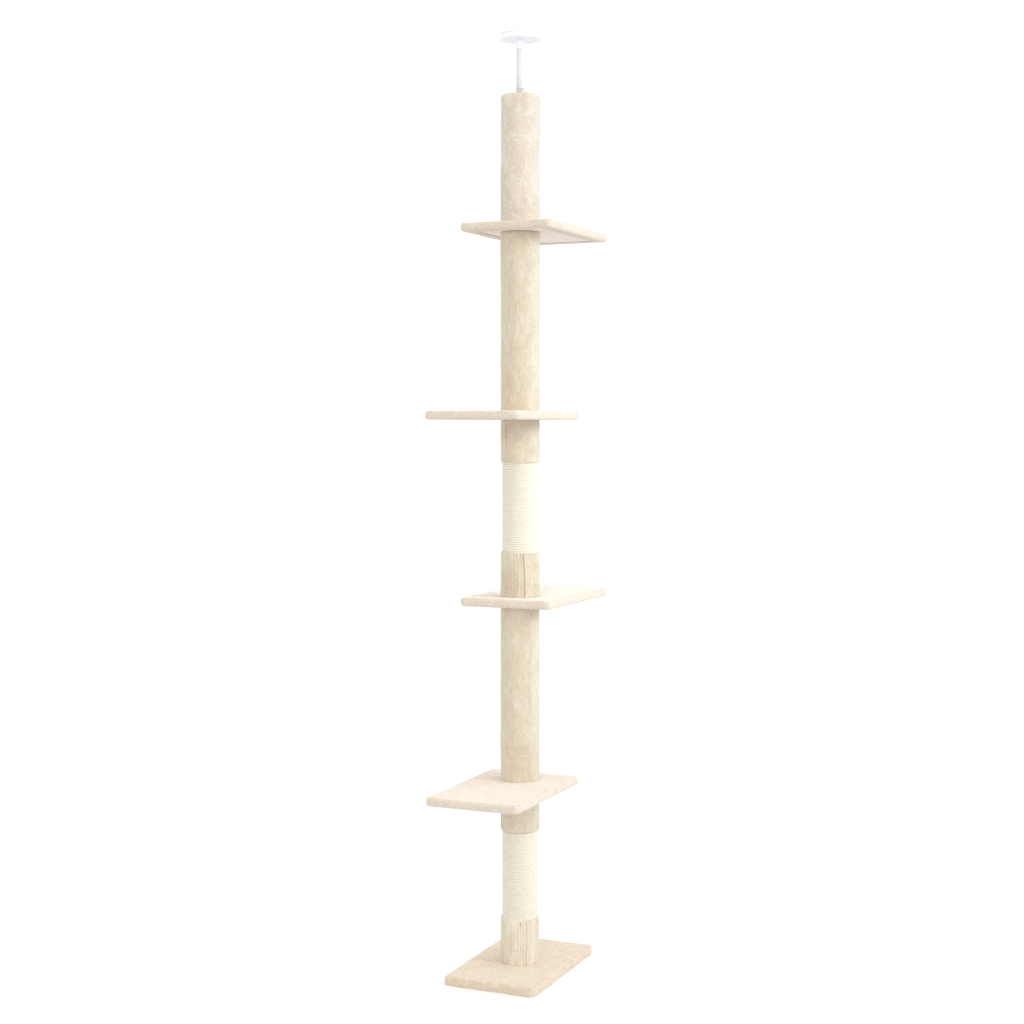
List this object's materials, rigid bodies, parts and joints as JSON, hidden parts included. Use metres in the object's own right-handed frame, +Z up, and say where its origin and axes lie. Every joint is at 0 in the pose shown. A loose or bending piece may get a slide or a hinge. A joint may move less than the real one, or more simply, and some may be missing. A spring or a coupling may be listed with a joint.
{
  "type": "floor-to-ceiling cat tree",
  "caption": "Tall slim cat tree: plush and sisal posts clamp offset plush platforms, and a screw tensioner presses a round plate against the ceiling.",
  "frame": {"origin": "centre of the base's underside, on the axis of the posts", "axes": "+Z up along the posts; +Y along the long side of the boards, towards platforms 2 and 4; +X along their short side"},
  "size_m": [0.25, 0.6, 2.3845],
  "materials": {
    "plush": "short brushed pile",
    "sisal": "twisted three-strand rope",
    "chipboard": "raw chipboard",
    "felt": "thin felt",
    "cardboard": "spiral-wound cardboard",
    "plug_plastic": "moulded",
    "black_rubber": "matt",
    "staple_steel": "galvanised wire",
    "zinc_steel": "zinc plated",
    "coated_steel": "satin powder coat",
    "white_plastic": "moulded, light satin",
    "pad_foam": "closed-cell foam"
  },
  "bodies": {
    "root": {"base_board": "chipboard", "base_plush_cover": "plush", "base_underside_liner": "felt", "base_staples": "staple_steel", "base_bolt": "zinc_steel", "base_bolt_washer": "zinc_steel", "post_1_tube": "cardboard", "post_1_lower_plug": "plug_plastic", "post_1_upper_plug": "plug_plastic", "post_1_lower_plush": "plush", "post_1_sisal_rope": "sisal", "post_1_upper_plush": "plush", "post_2_tube": "cardboard", "post_2_lower_plug": "plug_plastic", "post_2_upper_plug": "plug_plastic", "post_2_plush_cover": "plush", "post_3_tube": "cardboard", "post_3_lower_plug": "plug_plastic", "post_3_upper_plug": "plug_plastic", "post_3_lower_plush": "plush", "post_3_sisal_rope": "sisal", "post_3_upper_plush": "plush", "post_4_tube": "cardboard", "post_4_lower_plug": "plug_plastic", "post_4_upper_plug": "plug_plastic", "post_4_plush_cover": "plush", "post_5_tube": "cardboard", "post_5_lower_plug": "plug_plastic", "post_5_plush_cover": "plush", "post_5_top_cap": "plug_plastic", "connecting_studs": "zinc_steel", "tee_nuts": "zinc_steel", "sleeve_staples": "staple_steel", "spindle_tee_nut": "zinc_steel", "threaded_spindle": "zinc_steel", "seat_ring": "black_rubber"},
    "tensioner": {"tension_tube": "coated_steel", "tube_guide_bush": "white_plastic", "ceiling_plate": "white_plastic", "ceiling_pad": "pad_foam"},
    "nut": {"adjusting_nut": "zinc_steel"},
    "platform_1": {"platform_1_board": "chipboard", "platform_1_plush_cover": "plush", "platform_1_underside_liner": "felt", "platform_1_staples": "staple_steel"},
    "platform_2": {"platform_2_board": "chipboard", "platform_2_plush_cover": "plush", "platform_2_underside_liner": "felt", "platform_2_staples": "staple_steel"},
    "platform_3": {"platform_3_board": "chipboard", "platform_3_plush_cover": "plush", "platform_3_underside_liner": "felt", "platform_3_staples": "staple_steel"},
    "platform_4": {"platform_4_board": "chipboard", "platform_4_plush_cover": "plush", "platform_4_underside_liner": "felt", "platform_4_staples": "staple_steel"}
  },
  "joints": [
    {"name": "platform_1_swivel", "type": "hinge", "parent": "root", "child": "platform_1", "pos_m": [0, 0, 0.483], "axis": [0, 0, 1], "continuous": true},
    {"name": "platform_2_swivel", "type": "hinge", "parent": "root", "child": "platform_2", "pos_m": [0, 0, 0.955], "axis": [0, 0, 1], "continuous": true},
    {"name": "platform_3_swivel", "type": "hinge", "parent": "root", "child": "platform_3", "pos_m": [0, 0, 1.427], "axis": [0, 0, 1], "continuous": true},
    {"name": "platform_4_swivel", "type": "hinge", "parent": "root", "child": "platform_4", "pos_m": [0, 0, 1.899], "axis": [0, 0, 1], "continuous": true},
    {"name": "tensioner_slide", "type": "slide", "parent": "root", "child": "tensioner", "axis": [0, 0, 1], "range_m": [0, 0.1005]},
    {"name": "adjusting_nut_spin", "type": "hinge", "parent": "tensioner", "child": "nut", "pos_m": [0, 0, 2.243], "axis": [0, 0, 1], "range_deg": [0, 20571.4]}
  ],
  "couplings": [
    {"joint": "tensioner_slide", "follows": "adjusting_nut_spin", "m_per_rad": 0.00027852}
  ]
}
